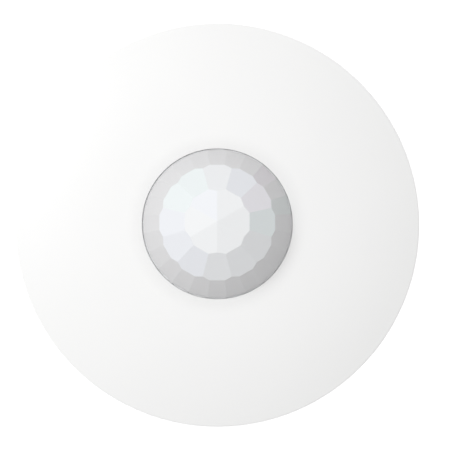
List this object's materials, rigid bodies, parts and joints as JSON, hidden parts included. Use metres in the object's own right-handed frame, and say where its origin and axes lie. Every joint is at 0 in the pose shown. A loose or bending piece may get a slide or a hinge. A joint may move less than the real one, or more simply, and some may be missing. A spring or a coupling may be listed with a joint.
{
  "type": "motion sensor",
  "caption": "Round white ceiling motion detector with a domed cover and a faceted dome lens. The head turns off its mounting plate and the cover pulls off the head.",
  "frame": {"origin": "centre of the mounting plate's back face, which lies in z = 0", "axes": "+Z points away from the ceiling, out of the lens; the cable entry is on the +Y side; +X completes the right-handed set"},
  "size_m": [0.116, 0.116, 0.0363],
  "materials": {
    "white_plastic": "fine satin moulding",
    "lens_plastic": "thin milky polyethylene, flat facets",
    "grey_plastic": "satin",
    "black_rubber": "matt",
    "dark_foam": "open-cell foam",
    "circuit_board": "green solder mask over glass fibre",
    "sensor_metal": "nickel plated",
    "sensor_filter": "dark silicon filter",
    "zinc_steel": "zinc plated",
    "brass": "plated",
    "terminal_green": "satin",
    "black_plastic": "fine matt",
    "blue_plastic": "satin",
    "white_nylon": "satin",
    "red_resin": "clear gloss",
    "capacitor_sleeve": "shrunk sleeve"
  },
  "bodies": {
    "base": {"ceiling_plate": "white_plastic"},
    "head": {"sensor_tray": "grey_plastic", "cable_grommet": "black_rubber", "circuit_board": "circuit_board", "board_screw_1": "zinc_steel", "board_screw_2": "zinc_steel", "board_screw_3": "zinc_steel", "sensor_header": "sensor_metal", "sensor_can": "sensor_metal", "sensor_filter": "sensor_filter", "sensor_seal": "dark_foam", "terminal_block": "terminal_green", "terminal_clamp_1": "brass", "terminal_clamp_2": "brass", "terminal_clamp_3": "brass", "terminal_clamp_4": "brass", "terminal_clamp_5": "brass", "terminal_clamp_6": "brass", "terminal_screw_1": "zinc_steel", "terminal_screw_2": "zinc_steel", "terminal_screw_3": "zinc_steel", "terminal_screw_4": "zinc_steel", "terminal_screw_5": "zinc_steel", "terminal_screw_6": "zinc_steel", "tamper_case": "black_plastic", "tamper_spring": "zinc_steel", "range_trimmer_case": "blue_plastic", "mode_switch_case": "blue_plastic", "indicator_lamp": "red_resin", "capacitor_1": "capacitor_sleeve", "capacitor_2": "capacitor_sleeve", "controller_chip": "black_plastic", "amplifier_chip": "black_plastic", "timing_crystal": "sensor_metal", "supply_diode": "black_plastic", "alarm_relay": "black_plastic"},
    "cover": {"front_cover": "white_plastic", "fresnel_lens": "lens_plastic", "lens_retainer": "grey_plastic", "retainer_screw_1": "zinc_steel", "retainer_screw_2": "zinc_steel", "retainer_screw_3": "zinc_steel"},
    "tamper_button": {"tamper_plunger": "white_nylon"},
    "range_knob": {"range_dial": "white_nylon"},
    "mode_switch_1": {"mode_slider_1": "white_nylon"},
    "mode_switch_2": {"mode_slider_2": "white_nylon"},
    "mode_switch_3": {"mode_slider_3": "white_nylon"}
  },
  "joints": [
    {"name": "head_turn", "type": "hinge", "parent": "base", "child": "head", "pos_m": [0, 0, 0], "axis": [0, 0, 1], "range_deg": [0, 15]},
    {"name": "cover_lift", "type": "slide", "parent": "head", "child": "cover", "axis": [0, 0, 1], "range_m": [0, 0.045]},
    {"name": "tamper_press", "type": "slide", "parent": "head", "child": "tamper_button", "axis": [0, 0, 1], "range_m": [-0.001, 0], "stiffness_N_per_m": 250, "springref_m": 0.001, "deforming": ["tamper_spring"]},
    {"name": "range_turn", "type": "hinge", "parent": "head", "child": "range_knob", "pos_m": [-0.028, 0.018, 0.012], "axis": [0, 0, 1], "range_deg": [-135, 135]},
    {"name": "mode_slide_1", "type": "slide", "parent": "head", "child": "mode_switch_1", "axis": [1, 0, 0], "range_m": [0, 0.0014]},
    {"name": "mode_slide_2", "type": "slide", "parent": "head", "child": "mode_switch_2", "axis": [1, 0, 0], "range_m": [0, 0.0014]},
    {"name": "mode_slide_3", "type": "slide", "parent": "head", "child": "mode_switch_3", "axis": [1, 0, 0], "range_m": [0, 0.0014]}
  ]
}
